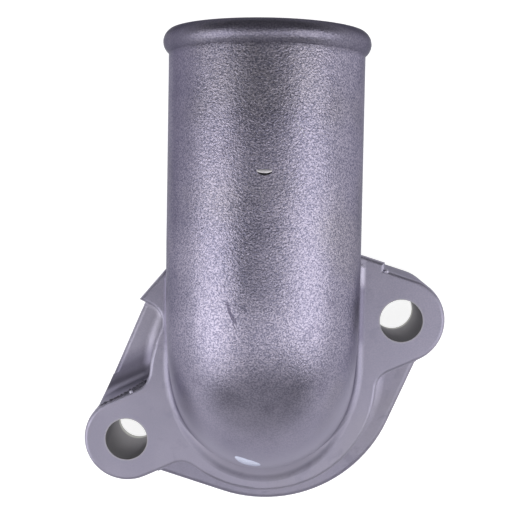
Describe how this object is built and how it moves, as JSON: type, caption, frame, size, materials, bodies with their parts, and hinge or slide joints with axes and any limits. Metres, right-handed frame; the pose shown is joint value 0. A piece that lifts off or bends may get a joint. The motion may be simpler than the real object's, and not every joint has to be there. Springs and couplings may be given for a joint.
{
  "type": "thermostat housing",
  "caption": "Cast aluminium engine coolant outlet: a bolted flange with an elbow that turns into a straight beaded hose neck parallel to the mating face.",
  "frame": {"origin": "centre of the bolt circle, in the plane of the mating face", "axes": "+Z away from the engine, square to the mating face; +Y along the hose neck towards its mouth"},
  "size_m": [0.0764, 0.1016, 0.0453],
  "materials": {
    "cast_metal": "shot-blasted casting, satin grey with a fine grain"
  },
  "bodies": {
    "root": {"housing": "cast_metal"}
  },
  "joints": []
}
